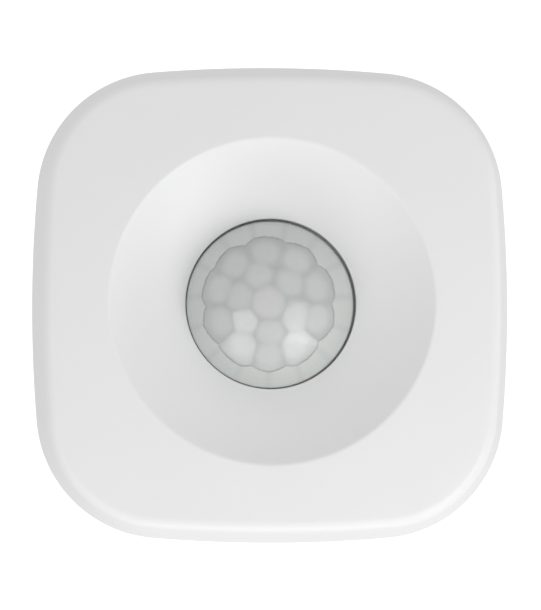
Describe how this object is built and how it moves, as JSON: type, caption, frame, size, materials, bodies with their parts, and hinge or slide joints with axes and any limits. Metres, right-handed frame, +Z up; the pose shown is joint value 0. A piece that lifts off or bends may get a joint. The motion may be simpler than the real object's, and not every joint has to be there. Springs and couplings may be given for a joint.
{
  "type": "motion sensor",
  "caption": "Rounded-square wall motion sensor with a round dish in its face, a milky domed lens, a battery bay behind and a hooked wall plate.",
  "frame": {"origin": "centre of the sensor's outline on the wall plane, at the back face of the wall plate", "axes": "+Z up, the face with the lens looks along -Y away from the wall, +X to the right of someone facing it"},
  "size_m": [0.065, 0.03, 0.065],
  "materials": {
    "shell_white": "satin moulded ABS",
    "plate_white": "fine-textured moulded ABS",
    "door_white": "fine-textured moulded ABS",
    "lens_milky": "milky translucent polyethylene",
    "retainer_grey": "moulded nylon",
    "foam_tape": "closed-cell acrylic foam tape",
    "screw_steel": "zinc plated",
    "board_screw_steel": "zinc plated",
    "cell_jacket": "printed jacket",
    "contact_metal": "nickel plated",
    "spring_metal": "nickel plated wire",
    "board_green": "solder mask on glass epoxy",
    "module_board": "solder mask on glass epoxy",
    "shield_metal": "tinned",
    "chip_black": "epoxy package",
    "crystal_metal": "nickel plated",
    "capacitor_can": "aluminium can on a black base",
    "inductor_ferrite": "moulded ferrite",
    "led_epoxy": "clear epoxy",
    "pir_can_metal": "gold-flashed nickel",
    "pir_window_filter": "coated silicon",
    "pir_base_metal": "gold-flashed header",
    "pir_chip": "ceramic chip",
    "pir_lead_metal": "gold-flashed wire",
    "spacer_white": "moulded nylon",
    "switch_body": "moulded nylon",
    "stem_plastic": "moulded nylon",
    "button_white": "satin moulded ABS",
    "plunger_white": "moulded acetal"
  },
  "bodies": {
    "wall_plate": {"wall_plate": "plate_white", "adhesive_pad": "foam_tape"},
    "housing": {"front_cover": "shell_white", "rear_housing": "shell_white", "fresnel_lens": "lens_milky", "lens_retainer": "retainer_grey", "housing_screws": "screw_steel", "board_screws": "board_screw_steel", "battery_upper": "cell_jacket", "battery_lower": "cell_jacket", "bridge_contact": "contact_metal", "positive_contact": "contact_metal", "negative_contact": "contact_metal", "bridge_spring": "spring_metal", "negative_spring": "spring_metal", "main_board": "board_green", "pir_spacer": "spacer_white", "pir_base": "pir_base_metal", "pir_can": "pir_can_metal", "pir_window": "pir_window_filter", "pir_element": "pir_chip", "pir_leads": "pir_lead_metal", "wireless_module": "module_board", "module_shield": "shield_metal", "microcontroller": "chip_black", "crystal": "crystal_metal", "capacitors": "capacitor_can", "power_inductor": "inductor_ferrite", "status_led": "led_epoxy", "pairing_switch": "switch_body", "tamper_switch": "switch_body"},
    "battery_door": {"battery_door": "door_white"},
    "pairing_button": {"pairing_button": "button_white", "switch_stem": "stem_plastic"},
    "tamper_plunger": {"tamper_plunger": "plunger_white"}
  },
  "joints": [
    {"name": "housing_lift", "type": "slide", "parent": "wall_plate", "child": "housing", "axis": [0, 0, 1], "range_m": [0, 0.005]},
    {"name": "battery_door_slide", "type": "slide", "parent": "housing", "child": "battery_door", "axis": [0, 0, -1], "range_m": [0, 0.005]},
    {"name": "pairing_button_press", "type": "slide", "parent": "housing", "child": "pairing_button", "axis": [0, 0, 1], "range_m": [0, 0.0005], "stiffness_N_per_m": 800},
    {"name": "tamper_plunger_travel", "type": "slide", "parent": "housing", "child": "tamper_plunger", "axis": [0, 1, 0], "range_m": [0, 0.0012], "stiffness_N_per_m": 250}
  ]
}
